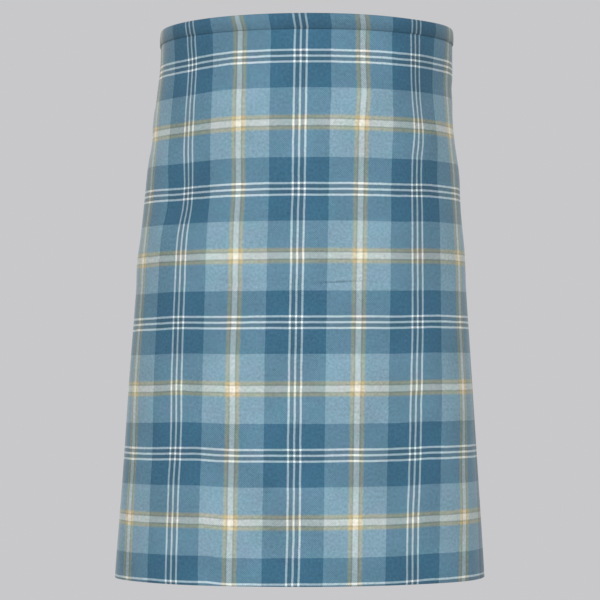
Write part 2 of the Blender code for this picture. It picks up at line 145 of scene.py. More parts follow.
@cache
def rowAt(drop):
    # the outline at one drop: angle and length at every station, first round the back
    drop = min(max(drop, 0.0), cloth["hemDrop"])
    halfWidth, front, back, middle, turn = [smoothColumn(drop, c) for c in range(1, 6)]
    left, half = form["leftEdge"], form["samples"]
    angles = np.radians(np.concatenate([np.linspace(left, 360 - left, half + 1),
                                        np.linspace(360 - left, 360 + left, half + 1)[1:]]))
    depth = np.where(np.cos(angles) > 0, front, back)
    x, y = halfWidth * np.sin(angles), -depth * np.cos(angles)
    lengths = np.concatenate([[0.0], np.cumsum(np.hypot(np.diff(x), np.diff(y)))])
    return {
        "stations": np.interp(lengths, [0, lengths[half], lengths[-1]], [0, pleats, ring]),
        "angles": angles, "lengths": lengths, "pleatWidth": lengths[half] / pleats,
        "halfWidth": halfWidth, "front": front, "back": back,
        "middle": middle, "turn": math.radians(turn),
    }


def awayFrom(at, station):
    # stations from one place to another, the short way round
    return (station - at + ring / 2) % ring - ring / 2


def creaseAt(station, drop):
    # how far the cloth stands out of the plain form
    drop, hem, height = drop * 1000, cloth["hemDrop"] * 1000, np.zeros_like(station)
    for at, atDrop, spread, dropSpread, lean, size in form["creases"]:
        away = awayFrom(at, station)
        across = (drop - atDrop - lean * away) / dropSpread
        height += size * np.exp(-(away / spread) ** 2 - across ** 2)
    for at, spread, top, bottom, soft, size in form["hollows"]:
        window = 1 / (1 + math.exp((top - drop) / soft * 4)) / (1 + math.exp((drop - bottom) / soft * 4))
        height += size * window * np.exp(-(awayFrom(at, station) / spread) ** 2)
    opened = max(0.0, (drop - form["flutesFrom"]) / (hem - form["flutesFrom"])) ** 1.5
    for at, spread, size in form["flutes"]:
        height += size * opened * np.exp(-(awayFrom(at, station) / spread) ** 2)
    curlHeight, size, at, spread = form["hemCurl"]
    curl = max(0.0, 1 - (hem - drop) / curlHeight)
    return (height - size * curl * curl * np.exp(-((station - at) / spread) ** 2)) / 1000


def place(drop, station, inset):
    # points at one drop
    row = rowAt(drop)
    around = np.mod(station, ring)
    angle = np.interp(around, row["stations"], row["angles"])
    depth = np.where(np.cos(angle) > 0, row["front"], row["back"])
    x = row["halfWidth"] * np.sin(angle)
    y = -depth * np.cos(angle)
    normalX = depth * np.sin(angle)
    normalY = -row["halfWidth"] * np.cos(angle)
    size = np.hypot(normalX, normalY)
    out = creaseAt(around, drop) - inset
    x = x + normalX / size * out
    y = y + normalY / size * out
    cos, sin = math.cos(row["turn"]), math.sin(row["turn"])
    return np.stack([row["middle"] + x * cos - y * sin, x * sin + y * cos,
                     np.full_like(x, -drop)], axis=-1)


def lengthAt(drop, station):
    # length round the form to a station, from the over apron's folded edge by way of the back
    row = rowAt(drop)
    laps = np.floor(station / ring)
    return np.interp(station - laps * ring, row["stations"], row["lengths"]) + laps * row["lengths"][-1]


def patternMiddle(drop):
    # length at the middle line of the front's pattern, which leans a little to the wearer's right
    front = np.linspace(pleats + 8, pleats + 22, 281)
    x = place(drop, front, np.zeros_like(front))[:, 0]
    middleX, lean = cloth["middleLine"]
    wanted = middleX - lean * drop
    return lengthAt(drop, np.interp(wanted, x, front))


def frontPattern(drop, station):
    across = lengthAt(drop, station) - patternMiddle(drop)
    start, reach, height, size = cloth["waistEase"]
    side = np.clip((np.abs(across) - start) / reach, 0, 1)
    moved = across + np.sign(across) * size * side * side * math.exp(-(drop / height) ** 2)
    drop, across = drop * 1000, across * 1000
    for atDrop, dropSpread, at, spread, size in cloth["drags"]:
        share = np.exp(-((drop - atDrop) / dropSpread) ** 2 - ((across - at) / spread) ** 2)
        moved = moved + size / 1000 * share
    return moved


# the cloth's way round the form at one drop, leg by leg: station, inset and place in the pattern

fold = {
    "turnSteps": 5, "underSteps": 7, "faceSteps": 8,  # points round a fold, under it and on a face
    "leftSeam": -0.20,  # station where the over apron is joined to the pleats
    "backSeam": (10, 1.50),  # the pleat with the join inside, and how far under it
    "rightSeamReach": 1.00,  # how far under the last pleat the under apron is joined
    "seamStep": 0.0003,  # between two joined edges
    "depthLimits": (2.05, 2.90),  # how far a pleat goes under, in pleat widths
    "firstReach": 0.40,  # the first pleats stop this far in front of the folded edge
    # the pattern's place of the cream stripe that runs down the middle of the first pleat
    "firstStripe": 5 * cloth["sett"] / 2,
    "turnPattern": (0.0003, 0.0018, 0.0021),  # of the pattern, taken up by an apron's turn
    "faceDip": 0.0007,  # how far the middle of a pleat's face sinks
    "lift": (0.20, 0.41, 0.0009, 0.0014),  # below a drop, over a drop, least, how much more
}
apron = {
    "face": 0.0005,  # inset of the middle of its cloth
    "overEdge": -0.0038, "overFreeEdge": 19.0, "overRamp": (20.0, 22.0), "stationStep": 0.25,
    "under": 0.0044, "underStart": 0.0050, "underFreeEdge": 48.7, "underSteps": 96,
    "slit": (-1.0, -0.6), "slitDrops": (0.0186, 0.0470),
}


def faceInset(pleat, station):
    return apron["face"] + 2 * pitch * (pleat - station)


def turnRound(station, inset, outward, width):
    # a half circle of cloth from one layer to the next one in
    angles = np.linspace(0, math.pi, fold["turnSteps"] + 2)[1:-1]
    return (station + outward * pitch / 2 * np.sin(angles) / width,
            inset + pitch / 2 * (1 - np.cos(angles)))


def pleatReach(row, pleat):
    full = (cloth["sett"] - row["pleatWidth"]) / 2 / row["pleatWidth"]
    low, high = fold["depthLimits"]
    return min(min(max(full, low), high), pleat + fold["firstReach"])


def pleatLift(pleat, station, drop):
    # a pleat's edge stands a little proud below the stitched part, each by its own amount
    start, over, least, more = fold["lift"]
    part = np.clip((station - (pleat - 0.9)) / 0.9, 0, 1)
    hang = np.clip((drop - start) / over, 0, 1) ** 1.3
    own = 0.55 + 0.45 * math.sin(pleat * 2.4 + 0.7)
    wave = 0.5 + 0.5 * math.sin(drop * 13 + pleat * 1.7)
    return ease(part) * hang * (least + more * own * (0.6 + 0.4 * wave))


def stripeMiddle(pleat):
    return fold["firstStripe"] + (pleat - 1) * cloth["sett"]


def pleatTurn(drop, pleat, start):
    # from under a pleat's edge, round its hidden fold, along the next face and round that edge
    row = rowAt(drop)
    width, reach = row["pleatWidth"], pleatReach(row, pleat)
    hidden, after = pleat - reach, pleat + 1
    middle = stripeMiddle(after)
    first, last = middle - width / 2, stripeMiddle(pleat) + width / 2
    if pleat == 0:
        last = min(frontPattern(drop, ring), first - 0.004)

    def hiddenPattern(station, returning=False):
        gone = (pleat - station) / (2 * reach)
        return last + (first - last) * (1 - gone if returning else gone)

    down = np.linspace(start, hidden, fold["underSteps"])
    yield down, faceInset(pleat, down) + pitch - pleatLift(pleat, down, drop), hiddenPattern(down)
    yield *turnRound(hidden, faceInset(pleat, hidden) + pitch, -1, width), hiddenPattern(hidden)
    back = np.linspace(hidden, pleat, fold["underSteps"])[:-1]
    yield back, faceInset(after, back), hiddenPattern(back, True)
    face = np.linspace(pleat, after, fold["faceSteps"])
    dip = fold["faceDip"] * np.sin((face - pleat) * math.pi) * np.clip(drop / 0.3, 0.2, 1)
    yield (face, faceInset(after, face) - pleatLift(after, face, drop) - dip,
           middle + (face - pleat - 0.5) * width)
    edge, inset = turnRound(after, apron["face"], 1, width)
    yield edge, inset - pleatLift(after, after, drop), middle + width / 2


def pleatsPath(drop, first, start, last, reach, steps):
    # one length of the pleats, from its seam in the first pleat to its seam in the last one
    width = rowAt(drop)["pleatWidth"]
    yield from pleatTurn(drop, first, start - fold["seamStep"] / width)
    for pleat in range(first + 1, last):
        yield from pleatTurn(drop, pleat, pleat)
    down = np.linspace(last, last - reach, steps)
    yield (down, faceInset(last, down) + pitch - pleatLift(last, down, drop),
           stripeMiddle(last) + width / 2 + (last - down) * width)


def overInset(station):
    low, high = apron["overRamp"]
    part = np.clip((station - low) / (high - low), 0, 1)
    return apron["overEdge"] + (apron["face"] - apron["overEdge"]) * ease(part)


def overApronPath(drop):
    width = rowAt(drop)["pleatWidth"]
    low, high = [ring + s for s in apron["slit"]]
    panel = np.concatenate([np.arange(apron["overFreeEdge"], low - 0.1, apron["stationStep"]),
                            np.linspace(low, high, 3), np.linspace(high, ring, 4)[1:]])
    yield panel, overInset(panel), frontPattern(drop, panel)
    last = frontPattern(drop, ring)
    start, end, after = fold["turnPattern"]
    yield *turnRound(ring, apron["face"], 1, width), last + np.linspace(start, end, fold["turnSteps"])
    under = np.linspace(ring, ring + fold["leftSeam"], 3)
    yield under, faceInset(ring, under) + pitch, last + after + (ring - under) * width


def underInset(drop, station):
    hidden = pleats - pleatReach(rowAt(drop), pleats)
    return np.interp(station, [hidden, pleats, pleats + 1],
                     [faceInset(pleats + 1, hidden), apron["underStart"], apron["under"]])


def underApronPath(drop):
    row = rowAt(drop)
    width, hidden = row["pleatWidth"], pleats - pleatReach(row, pleats)
    down = np.linspace(pleats - fold["rightSeamReach"] - fold["seamStep"] / width, hidden, 4)
    last = stripeMiddle(pleats) + width / 2
    yield down, faceInset(pleats, down) + pitch, last + (pleats - down) * width
    last += (pleats - hidden) * width
    start, end, after = fold["turnPattern"]
    yield (*turnRound(hidden, faceInset(pleats, hidden) + pitch, -1, width),
           last + np.linspace(start, end, fold["turnSteps"]))
    panel = np.concatenate([np.linspace(hidden, pleats, 8)[:-1],
                            np.linspace(pleats, apron["underFreeEdge"], apron["underSteps"])])
    yield (panel, underInset(drop, panel),
           last + after + lengthAt(drop, panel) - lengthAt(drop, hidden))


def deselectAll():
    for thing in bpy.context.selected_objects:
        thing.select_set(False)


def makeActive(thing):
    deselectAll()
    thing.select_set(True)
    bpy.context.view_layer.objects.active = thing


def applyAll(thing):
    makeActive(thing)
    for modifier in list(thing.modifiers):
        bpy.ops.object.modifier_apply(modifier=modifier.name)


def finishMesh(thing, angle):
    applyAll(thing)
    bpy.ops.object.shade_smooth_by_angle(angle=math.radians(angle))
    thing.select_set(False)


def newObject(name, points, edges, faces):
    data = bpy.data.meshes.new(name)
    data.from_pydata(points, edges, faces)
    thing = bpy.data.objects.new(name, data)
    bpy.context.scene.collection.objects.link(thing)
    return thing


def clothSheet(name, points, pattern, material, holes=()):
    # an open sheet with its own UV map in metres of cloth, then its thickness
    rowCount, wide = points.shape[:2]
    corners = [r * wide + c for r in range(rowCount - 1) for c in range(wide - 1) if (r, c) not in holes]
    faces = [(a, a + wide, a + wide + 1, a + 1) for a in corners]
    thing = newObject(name, points.reshape(-1, 3).tolist(), [], faces)
    data = thing.data
    index = np.zeros(len(data.loops), np.int32)
    data.loops.foreach_get("vertex_index", index)
    flat = pattern.reshape(-1, 2)[index]
    data.uv_layers.new(name="cloth").data.foreach_set("uv", flat.astype(np.float32).ravel())
    data.materials.append(material)
    wall = thing.modifiers.new("wall", "SOLIDIFY")
    wall.thickness, wall.offset, wall.use_even_offset = cloth["thickness"], 0, True
    finishMesh(thing, 60)
    return thing


def patternDrop(x, drop):
    # the cross lines sag towards the wearer's right hip and rise a very little lower down
    start, reach, size, gone, least = cloth["hipSag"]
    sag = np.maximum(size * ease(np.clip((-start - x) / reach, 0, 1)) * (1 - drop / gone), least)
    start, reach, size, full = cloth["leftLift"]
    sag = sag - size * ease(np.clip((x - start) / reach, 0, 1)) * min(drop / full, 1)
    for start, reach, atDrop, spread, size in cloth["sags"]:
        near = ease(np.clip((-start - x) / reach, 0, 1))
        sag = sag + size * near * math.exp(-((drop - atDrop) / spread) ** 2)
    return drop - cloth["firstLine"] + cloth["crossRise"] * x * drop / cloth["hemDrop"] - sag


def hang(name, pathAt, rowStep, extraDrops=(), window=None):
    # a sheet from the waist to the hem, row by row, with the window left open
    count = round((cloth["hemDrop"] - cloth["topDrop"]) / rowStep)
    drops = sorted(set(np.round(np.linspace(cloth["topDrop"], cloth["hemDrop"], count + 1), 5))
                   | set(extraDrops))
    points, pattern, topPath = [], [], None
    for drop in drops:
        legs = [np.broadcast_arrays(*leg) for leg in pathAt(drop)]
        station, inset, across = [np.concatenate(part) for part in zip(*legs)]
        topPath = station if topPath is None else topPath
        spots = place(drop, station, inset)
        points.append(spots)
        pattern.append(np.stack([across, patternDrop(spots[:, 0], drop)], axis=-1))
    holes = set()
    if window:
        (low, high), (top, bottom) = window
        holes = {(r, c) for r in range(len(drops) - 1) for c in range(len(topPath) - 1)
                 if low < (topPath[c] + topPath[c + 1]) / 2 < high
                 and top < (drops[r] + drops[r + 1]) / 2 < bottom}
    return clothSheet(name, np.array(points), np.array(pattern), woolTwill, holes)


def linear(hexColour):
    values = [int(hexColour[i:i + 2], 16) / 255 for i in (0, 2, 4)]
    return [v / 12.92 if v <= 0.04045 else ((v + 0.055) / 1.055) ** 2.4 for v in values] + [1.0]


def addNode(tree, kind, links=None, values=None, **settings):
    # one node: what is linked into it, its plain input values and its settings
    made = tree.nodes.new("ShaderNode" + kind)
    for key, value in settings.items():
        setattr(made, key, value)
    for key, value in (values or {}).items():
        made.inputs[key].default_value = value
    for key, source in (links or {}).items():
        tree.links.new(source.outputs[0] if hasattr(source, "outputs") else source, made.inputs[key])
    return made


def newMaterial(name):
    # the new material, and what adds a node to it
    material = bpy.data.materials.new(name)
    material.use_nodes = True
    material.node_tree.nodes.clear()
    return material, partial(addNode, material.node_tree)


tartan = {
    "dark": "416F8A", "light": "88ABBD", "white": "F3FEFF",
    "creamWarp": "FFFCEF", "creamWeft": "FFF8E6", "gold": "D2C08E", "olive": "B2A988", "slate": "446376",
    # half a sett, from the middle white line to the cream stripe: where each colour starts and
    # over what width its first threads are mixed with the last ones, in millimetres
    "warp": [(0.0, 0.0, "white"), (1.10, 0.3, "slate"), (5.40, 0.3, "white"), (7.60, 0.3, "dark"),
             (32.5, 0.4, "light"), (59.5, 2.4, "gold"), (62.6, 1.0, "olive"), (64.3, 0.9, "creamWarp")],
    "weft": [(0.0, 0.0, "white"), (1.10, 0.3, "slate"), (5.10, 0.3, "white"), (7.30, 0.3, "dark"),
             (33.8, 0.4, "light"), (63.1, 2.4, "gold"), (66.1, 1.0, "olive"), (67.8, 0.9, "creamWeft")],
    "twill": 0.0022,  # one repeat of the twill; the real one of about 1.2 mm is too fine to show
    "weftShare": 0.53,
    "twillDepth": 0.20,  # how far the share of the weft swings along the twill
    "viewGamma": 2.2,  # threads mix by the brightness seen
    "wander": 0.0011,  # how far the threads may wander off their line
    "fibre": 2.4,  # weight of the single fibres in the unevenness of the dye
    "tones": (0.74, 1.26),
    "greener": (0.90, 1.03, 0.98, 1.0), "redder": (1.10, 0.97, 1.02, 1.0),
    "bump": (0.35, 0.00024),  # strength, and height in metres
    "bloom": (0.34, 0.42, "DED6C6"),  # the wool's fine nap: weight, roughness, colour
}


def stripes(add, coordinate, table, half):
    # colour along one set of threads: the sett runs to the cream stripe and back
    length = add("Math", {0: coordinate}, {1: half}, operation="PINGPONG")
    ramp = add("ValToRGB", {0: add("Math", {0: length}, {1: half}, operation="DIVIDE")})
    stops = [(0.0, table[0][2])]
    for (_, _, before), (start, mixed, colour) in zip(table, table[1:]):
        stops += [(start - mixed / 2, before), (start + mixed / 2, colour)]
    elements = ramp.color_ramp.elements
    while len(elements) < len(stops):
        elements.new(0.5)
    for element, (at, colour) in zip(elements, stops):
        element.position = at / 1000 / half
        element.color = linear(tartan[colour])
    return add("Gamma", {"Color": ramp}, {"Gamma": 1 / tartan["viewGamma"]})


def tartanMaterial(name, shade=1.0, sewnEdgeShade=None):
    # worsted twill, woven from dyed yarn: matt, with a fine diagonal rib and a soft bloom
    material, add = newMaterial(name)
    uv = add("UVMap", uv_map="cloth")
    wander = add("TexNoise", {"Vector": uv}, {"Scale": 38.0, "Detail": 2.0}).outputs["Color"]
    centred = add("VectorMath", {0: wander}, {1: (0.5, 0.5, 0.5)}, operation="SUBTRACT")
    small = add("VectorMath", {0: centred}, {"Scale": tartan["wander"]}, operation="SCALE")
    moved = add("VectorMath", {0: uv, 1: small}, operation="ADD")
    across, down, _ = add("SeparateXYZ", {0: moved}).outputs
    warp = stripes(add, across, tartan["warp"], cloth["sett"] / 2)
    weft = stripes(add, down, tartan["weft"], cloth["lineSpacing"] / 2)
    # 2/2 twill, seen as a fine diagonal rib
    half, share, swing = tartan["twill"] / 2, tartan["weftShare"], tartan["twillDepth"]
    diagonal = add("Math", {0: across, 1: down}, operation="ADD")
    rib = add("Math", {0: diagonal}, {1: half}, operation="PINGPONG")
    height = add("MapRange", {"Value": rib}, {"From Min": 0.0, "From Max": half},
                 interpolation_type="SMOOTHSTEP")
    over = add("MapRange", {"Value": height}, {"To Min": share - swing, "To Max": share + swing})
    woven = add("Mix", {"Factor": over, "A": warp, "B": weft}, data_type="RGBA").outputs["Result"]
    light = add("Gamma", {"Color": woven}, {"Gamma": tartan["viewGamma"]})
    # wool takes the dye a little unevenly
    fibre = add("TexNoise", {"Vector": uv}, {"Scale": 330.0, "Detail": 4.0, "Roughness": 0.7})
    cloud = add("TexNoise", {"Vector": uv}, {"Scale": 17.0, "Detail": 2.0})
    both = add("Math", {0: fibre, 2: cloud}, {1: tartan["fibre"]}, operation="MULTIPLY_ADD")
    # painted shade: a shade below 1 draws a darker copy of the same cloth
    least, most = [shade * tone for tone in tartan["tones"]]
    tone = add("MapRange", {"Value": both},
               {"From Min": 1.1, "From Max": 2.3, "To Min": least, "To Max": most})
    if sewnEdgeShade:
        # painted shade: a folded strip is drawn darker towards its sewn lower edge, where shade falls in
        # the seam
        low, high, dim = sewnEdgeShade
        edge = add("MapRange", {"Value": down},
                   {"From Min": low, "From Max": high, "To Min": 1.0, "To Max": dim})
        tone = add("Math", {0: tone, 1: edge}, operation="MULTIPLY")
    # the dye leans a little to green here and to violet there
    hue = add("TexNoise", {"Vector": uv}, {"Scale": 46.0, "Detail": 1.0})
    tint = add("Mix", {"Factor": hue}, {"A": tartan["greener"], "B": tartan["redder"]},
               data_type="RGBA").outputs["Result"]
    dyed = add("VectorMath", {0: light, 1: tint}, operation="MULTIPLY")
    colour = add("VectorMath", {0: dyed, "Scale": tone}, operation="SCALE")
    strength, depth = tartan["bump"]
    relief = add("Math", {0: fibre, 2: height}, {1: 0.35}, operation="MULTIPLY_ADD")
    bump = add("Bump", {"Height": relief}, {"Strength": strength, "Distance": depth})
    weight, rough, nap = tartan["bloom"]
    shader = add("BsdfPrincipled", {"Base Color": colour, "Normal": bump},
                 {"Roughness": 0.88, "IOR": 1.45, "Specular IOR Level": 0.25, "Sheen Weight": weight,
                  "Sheen Roughness": rough, "Sheen Tint": linear(nap)})
    add("OutputMaterial", {0: shader})
    return material


woolTwill = tartanMaterial("worstedTwillTartan")

print("cloth")
fineDrops = tuple(np.round(np.arange(0.2836, 0.2990, 0.0006), 5))  # where the sharpest crease runs
overApron = hang("overApron", overApronPath, cloth["rowStep"], apron["slitDrops"] + fineDrops,
                 ([ring + s for s in apron["slit"]], apron["slitDrops"]))
underApron = hang("underApron", underApronPath, cloth["rowStep"])
pleat, reach = fold["backSeam"]
pleatsLeft = hang("pleatsLeft", lambda drop: pleatsPath(drop, 0, fold["leftSeam"], pleat, reach, 5),
                  cloth["pleatRowStep"])
pleatsRight = hang("pleatsRight", lambda drop: pleatsPath(
    drop, pleat, pleat - reach, pleats, fold["rightSeamReach"], 4), cloth["pleatRowStep"])

for piece, node, on, width in ((overApron, "over_apron", "waistband_over", 0.600),
                               (underApron, "under_apron", "waistband_under", 0.640),
                               (pleatsLeft, "pleats_left", "waistband_back", 1.345),
                               (pleatsRight, "pleats_right", "waistband_back", 1.345)):
    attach(piece, "root")
    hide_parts(node)

print("waistband")
band = {
    "depth": 0.0165,
    "step": 0.0011,  # from the middle of the cloth to the middle of the band
    "gap": 0.0003,  # between two lengths of it
    "splitLeft": -0.5, "splitRight": 20.08,
    "backOuter": -0.0011, "backInner": 0.0124, "backInnerEnd": 0.0063,
    "overhang": 0.0010,  # how far its ends go past the aprons' free edges
    "endSteps": (0.0, 0.0006, 0.0016), "endPinch": (0.45, 0.80, 0.97),  # its closed ends
    # the strip was cut a little off the straight: across the pattern, how far its lines lean
    "leans": [(-0.150, 0.25), (-0.060, 0.32), (0.0, 0.20), (0.065, 0.18), (0.120, 0.0)],
    "stripeShift": -0.0006,
    "patternTop": 0.0250,  # it is cut from the plain dark part between the cross lines
    # painted shade: shade draws the whole band darker than the aprons' cloth, and edgeShade darkens it
    # further, to 0.80, over the 12.5 mm of its outside next to the sewn lower edge
    "shade": 0.90, "edgeShade": (0.0125, 0.0250, 0.80),
    # how far its top edge dips: all round, then station, spread in stations, depth
    "dip": 0.0005, "dipDrop": 0.0155,
    "dips": [(24.0, 4.5, 0.0008), (43.0, 3.2, 0.0010), (4.5, 3.0, 0.0009), (12.5, 3.5, 0.0011)],
    # one side of the fold from its lower edge up: how far out, drop, both in millimetres
    "side": [(-0.50, 17.0), (-0.20, 16.4), (0.02, 15.4), (0.20, 13.6), (0.30, 11.0), (0.32, 8.5),
             (0.26, 6.0), (0.10, 3.4), (-0.15, 1.8), (-0.45, 0.9), (-0.85, 0.45)],
    "foldTop": 0.00035,  # drop of the fold's top
}
waistStep = rowAt(0.0)["pleatWidth"]  # metres from one station to the next, at the waist


def waistband(name, first, last, layersAt, closedEnds):
    # a strip folded over the top edge: up the outside, over, and down the inside
    between = np.arange(math.ceil(first * 4 + 0.4), math.floor(last * 4 - 0.4) + 1) / 4
    at = np.concatenate([[first], between, [last]])
    pinch = np.ones(len(at))
    for closed, way in zip(closedEnds, (1, -1)):
        if closed:
            turned = at[::way][0] + way * np.array(band["endSteps"]) / waistStep
            at = np.concatenate([turned, at[::way][1:]])[::way]
            pinch = np.concatenate([band["endPinch"], pinch[::way][1:]])[::way]
    outer, inner = layersAt(at)
    middle, half = (outer + inner) / 2, (inner - outer) / 2
    dip = band["dip"] + sum(depth * np.exp(-((at % ring - station) / spread) ** 2)
                            for station, spread, depth in band["dips"])
    straight = frontPattern(band["depth"], at)
    lean = np.interp(straight, *zip(*band["leans"]))
    section = [(-1, out / 1000, drop / 1000) for out, drop in band["side"]]
    section += [(0, 0.0, band["foldTop"])]
    section += [(1, min(out, 0.0) / 1000, drop / 1000) for out, drop in reversed(band["side"])]
    points, pattern = [], []
    climbed = 0.0
    for k, (side, out, drop) in enumerate(section):
        if k:
            climbed += math.hypot(out - section[k - 1][1], drop - section[k - 1][2])
        spots = place(drop, at, middle + side * (half + out) * pinch)
        spots[:, 2] -= dip * max(1 - drop / band["dipDrop"], 0)
        points.append(spots)
        across = straight + band["stripeShift"] + lean * climbed
        pattern.append(np.stack([across, np.full(len(at), band["patternTop"] - climbed)], axis=-1))
    return clothSheet(name, np.array(points), np.array(pattern), shadedBandTwill)


def bothSides(inset):
    return inset - band["step"], inset + band["step"]


def backLayers(station):
    reach = [pleats - fold["depthLimits"][1], band["splitRight"]]
    return band["backOuter"], np.interp(station, reach, [band["backInner"], band["backInnerEnd"]])


# painted shade: the band's cloth is the aprons' tartan drawn a tenth darker, and darker still towards its
# sewn edge
shadedBandTwill = tartanMaterial("worstedTwillBandPaintedShade", band["shade"], band["edgeShade"])
gap, end = band["gap"] / waistStep, band["overhang"] / waistStep
bandOver = waistband("bandOver", apron["overFreeEdge"] - end, ring + band["splitLeft"] - gap,
                     lambda station: bothSides(overInset(station)), (True, False))
bandBack = waistband("bandBack", band["splitLeft"], band["splitRight"], backLayers, (False, False))
bandUnder = waistband("bandUnder", band["splitRight"] + gap, apron["underFreeEdge"] + end,
                      lambda station: bothSides(underInset(0.0, station)), (False, True))
for piece, node, flat, on in ((bandOver, "waistband_over", (0.535, 0.036), "overApron"),
                              (bandBack, "waistband_back", (0.380, 0.046), "pleatsLeft"),
                              (bandUnder, "waistband_under", (0.490, 0.036), "underApron")):
    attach(piece, "root")
    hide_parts(node)

# vegetable-tanned bridle leather, rolled and waxed: fine pores, soft gloss, paler worn patches
leather = {
    "colours": ("231D1A", "3A302B"), "gloss": (0.36, 0.60), "shader": {"IOR": 1.5},
    "patches": ("TexNoise", {"Scale": 140.0, "Detail": 4.0}, {}),
    "relief": ("TexVoronoi", {"Scale": 1300.0}, {"feature": "DISTANCE_TO_EDGE"}), "pore": 0.12,
    "bump": (0.30, 0.00008),
}
# nickel-plated steel wire, barrel polished: bright, with fine hairlines round the wire
steel = {
    "colours": ("C9C7C2", "B3B0AA"), "gloss": (0.16, 0.34), "shader": {"Metallic": 1.0},
    "patches": ("TexNoise", {"Scale": 160.0, "Detail": 2.0}, {}),
    "relief": ("TexNoise", {"Scale": 900.0, "Detail": 3.0}, {}),
    "bump": (0.08, 0.00002),
}
# waxed linen thread: its twist of 0.5 mm shows as a fine diagonal
linen = {
    "colours": ("47423D", "6B6660"), "shader": {"Roughness": 0.55, "IOR": 1.5},
    "patches": ("TexWave", {"Scale": 620.0, "Distortion": 0.4}, {"bands_direction": "DIAGONAL"}),
    "bump": (0.40, 0.00006),
}
# silk buttonhole twist, in the blue of the cloth: the same diagonal
silk = {**linen, "colours": ("34586F", "5F8CA6")}


def hardMaterial(name, look):
    # two tones in patches, gloss that goes with them, and a fine relief
    material, add = newMaterial(name)
    spot = add("TexCoord").outputs["Object"]

    def texture(part):
        kind, values, settings = look[part]
        outputs = add(kind, {"Vector": spot}, values, **settings).outputs
        return outputs.get("Fac") or outputs[0]

    patches = texture("patches")
    relief = texture("relief") if "relief" in look else patches
    if "pore" in look:
        relief = add("MapRange", {"Value": relief}, {"From Max": look["pore"]})
    dark, light = [linear(colour) for colour in look["colours"]]
    tone = add("Mix", {"Factor": patches}, {"A": dark, "B": light}, data_type="RGBA").outputs["Result"]
    strength, depth = look["bump"]
    links = {"Base Color": tone,
             "Normal": add("Bump", {"Height": relief}, {"Strength": strength, "Distance": depth})}
    if "gloss" in look:
        low, high = look["gloss"]
        links["Roughness"] = add("MapRange", {"Value": patches}, {"To Min": low, "To Max": high})
    add("OutputMaterial", {0: add("BsdfPrincipled", links, look["shader"])})
    return material


bridleLeather = hardMaterial("waxedBridleLeather", leather)
waxedThread = hardMaterial("waxedLinenThread", linen)
buttonholeTwist = hardMaterial("buttonholeTwist", silk)
polishedSteel = hardMaterial("nickelPlatedSteel", steel)

print("straps and buckles")
fitting = {
    "drop": 0.0328,  # of the straps' centre line
    "clearance": 0.0003,
    # the buckle's centre on each side in stations, and which way the strap runs
    "left": (1.5, 1), "right": (17.3, -1), "slit": (0.0, 1),
}
buckle = {"barRadius": 0.0011, "barHeight": 0.0036, "halfLength": 0.0070, "halfWidth": 0.0165,
          "corner": 0.0030}
prong = {"radius": 0.0009, "overhang": 0.0025, "curl": (-160, 91, 12), "thinner": 0.22, "round": 0.07,
         "shaft": (0.08, 0.96, 12), "tipDrop": 0.0001, "least": 0.12}
strap = {
    "width": 0.0254, "thickness": 0.0018, "height": 0.0013, "step": 0.0011, "stepsAcross": 8,
    "edgeShare": 0.28,  # of the thickness, rounded off at each edge
    "leftStart": -3.0, "rightStart": 20.1, "slitEase": 0.06,
    # past the buckle: along from the buckle's centre, height of the strap's middle
    "route": [(-0.0100, 0.0013), (-0.0040, 0.0013), (-0.0011, 0.0038), (0.0038, 0.0080),
              (0.0070, 0.0083), (0.0100, 0.0083), (0.0170, 0.0046), (0.0300, 0.0046),
              (0.0400, 0.0025)],
    # length of the pointed tongue, share of the width at its tip, how full it is
    "point": 0.0110, "pointEnd": 0.12, "pointShape": 2.2,
    "prongHole": (0.0028, 0.0056), "prongPlace": (-0.0011, 0.0038),
    "hole": 0.0026, "holeSpacing": 0.0127, "firstHole": 0.012,
    "seamInset": 0.0028,  # rows of stitching from the edges
    "seamStart": 0.004, "crossSeams": (0.0035, 0.0125), "tipSeam": (0.9, 0.0030, 0.16),
}
tab = {"width": 0.94 * strap["width"], "thickness": 0.0014, "point": 0, "length": 0.022,
       "slotEnd": 0.0068, "rise": 0.0010, "slotWidth": 0.0028, "seams": (0.0022, 0.0085)}
stitch = {"length": 0.0024, "spacing": 0.0033, "radius": 0.00030}
slitEdge = {"spacing": 0.0009, "reach": 0.0023, "lift": 0.00005}


def editAll(thing, *steps):
    # mesh operators on the whole of a piece
    makeActive(thing)
    bpy.ops.object.mode_set(mode="EDIT")
    for operator, settings in steps:
        bpy.ops.mesh.select_all(action="SELECT")
        operator(**settings)
    bpy.ops.object.mode_set(mode="OBJECT")


def settle(thing, side, angle):
    # lays a flat piece on the kilt: x along the strap, y down, z out
    centre, way = fitting[side]
    for vertex in thing.data.vertices:
        along, down, height = vertex.co
        drop = fitting["drop"] + down
        spot = place(round(drop, 4), np.array([centre + way * along / waistStep]), -height)[0]
        vertex.co = (spot[0], spot[1], -drop)
    editAll(thing, (bpy.ops.mesh.normals_make_consistent, {"inside": False}))
    finishMesh(thing, angle)
    return thing


def runAlong(spots):
    return np.concatenate([[0], np.cumsum(np.hypot(*np.diff(spots, axis=0).T))])


def smoothRoute(route, soft, step=0.0001):
    # the way that a strip's middle takes, with its corners rounded
    knots = np.array(route)
    run = runAlong(knots)
    fine = np.arange(0, run[-1], step)
    spots = np.stack([np.interp(fine, run, knots[:, k]) for k in (0, 1)], axis=-1)
    window = max(int(soft / step) | 1, 1)
    padded = np.concatenate([
        spots[0] + (spots[1] - spots[0]) * np.arange(-(window // 2), 0)[:, None], spots,
        spots[-1] + (spots[-1] - spots[-2]) * np.arange(1, window // 2 + 1)[:, None]])
    kernel = np.ones(window) / window
    return np.stack([np.convolve(padded[:, k], kernel, "valid") for k in (0, 1)], axis=-1)


